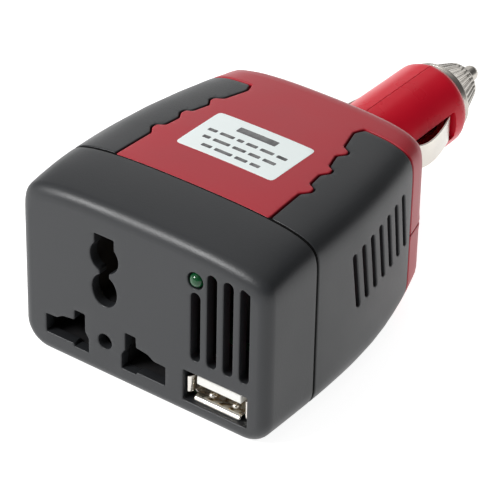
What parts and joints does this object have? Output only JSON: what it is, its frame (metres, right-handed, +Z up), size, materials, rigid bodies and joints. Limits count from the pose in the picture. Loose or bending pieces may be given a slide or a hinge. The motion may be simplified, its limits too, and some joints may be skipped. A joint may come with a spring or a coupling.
{
  "type": "power inverter",
  "caption": "Tapering two-tone car inverter with a universal mains socket and USB socket in its front face, side vents, and a folding lighter-socket plug behind.",
  "frame": {"origin": "centre of the whole part's footprint, on the surface that the flat underside rests on", "axes": "+Y along the plug, away from the socket face; +Z up through the label; +X to the right when facing the sockets"},
  "size_m": [0.0612, 0.1198, 0.0421],
  "materials": {
    "dark_plastic": "fine matt grain",
    "red_plastic": "satin moulded plastic",
    "plug_red": "glossy moulded plastic",
    "nickel": "nickel plated",
    "brass": "rolled brass",
    "aluminium": "extruded, plain",
    "board": "solder mask",
    "label_paper": "coated paper",
    "lamp": "tinted clear resin",
    "white_plastic": "moulded",
    "black_part": "moulded",
    "copper": "enamelled copper wire",
    "ferrite": "sintered ferrite",
    "lead_red": "wire insulation",
    "fuse_glass": "clear tube"
  },
  "bodies": {
    "casing": {"front_cover": "dark_plastic", "top_shell": "red_plastic", "bottom_shell": "red_plastic", "left_grip": "dark_plastic", "right_grip": "dark_plastic", "label": "label_paper", "case_screw_1": "nickel", "case_screw_2": "nickel", "case_screw_3": "nickel", "case_screw_4": "nickel", "socket_carrier": "black_part", "live_contact": "brass", "neutral_contact": "brass", "earth_contact": "brass", "usb_shell": "nickel", "usb_tongue": "white_plastic", "usb_contact_1": "brass", "usb_contact_2": "brass", "usb_contact_3": "brass", "usb_contact_4": "brass", "usb_board": "board", "indicator_lamp": "lamp", "main_board": "board", "transformer_core": "ferrite", "transformer_winding": "copper", "choke": "copper", "buzzer": "black_part", "control_chip": "black_part", "capacitor_left": "black_part", "capacitor_right": "black_part", "heat_sink_left": "aluminium", "heat_sink_right": "aluminium", "transistor_left_1": "black_part", "transistor_left_2": "black_part", "transistor_right_1": "black_part", "transistor_right_2": "black_part", "positive_lead": "lead_red", "negative_lead": "black_part", "pivot_bracket": "dark_plastic", "pivot_pin_left": "nickel", "pivot_pin_right": "nickel"},
    "plug": {"plug_half_left": "plug_red", "plug_half_right": "plug_red", "tip_spring": "nickel"},
    "side_contact_left": {"side_contact_left": "nickel"},
    "side_contact_right": {"side_contact_right": "nickel"},
    "tip": {"tip_pin": "nickel", "fuse_tube": "fuse_glass", "fuse_cap_rear": "nickel", "fuse_cap_front": "nickel"},
    "cap_carrier": {"cap_washer": "white_plastic"},
    "nose_cap": {"nose_cap": "nickel"}
  },
  "joints": [
    {"name": "plug_fold", "type": "hinge", "parent": "casing", "child": "plug", "pos_m": [0, 0.0137, 0.0195], "axis": [1, 0, 0], "range_deg": [-90, 90]},
    {"name": "side_contact_left_press", "type": "slide", "parent": "plug", "child": "side_contact_left", "axis": [1, 0, 0], "range_m": [0, 0.002], "stiffness_N_per_m": 1000, "springref_m": -0.0005},
    {"name": "side_contact_right_press", "type": "slide", "parent": "plug", "child": "side_contact_right", "axis": [-1, 0, 0], "range_m": [0, 0.002], "stiffness_N_per_m": 1000, "springref_m": -0.0005},
    {"name": "tip_press", "type": "slide", "parent": "plug", "child": "tip", "axis": [0, -1, 0], "range_m": [0, 0.003], "stiffness_N_per_m": 800, "springref_m": -0.002},
    {"name": "nose_cap_travel", "type": "slide", "parent": "plug", "child": "cap_carrier", "axis": [0, 1, 0], "range_m": [0, 0.005]},
    {"name": "nose_cap_turn", "type": "hinge", "parent": "cap_carrier", "child": "nose_cap", "pos_m": [0, 0.0457, 0.0195], "axis": [0, 1, 0], "range_deg": [0, 1810]}
  ],
  "couplings": [
    {"joint": "nose_cap_turn", "follows": "nose_cap_travel", "rad_per_m": 6283.2}
  ]
}
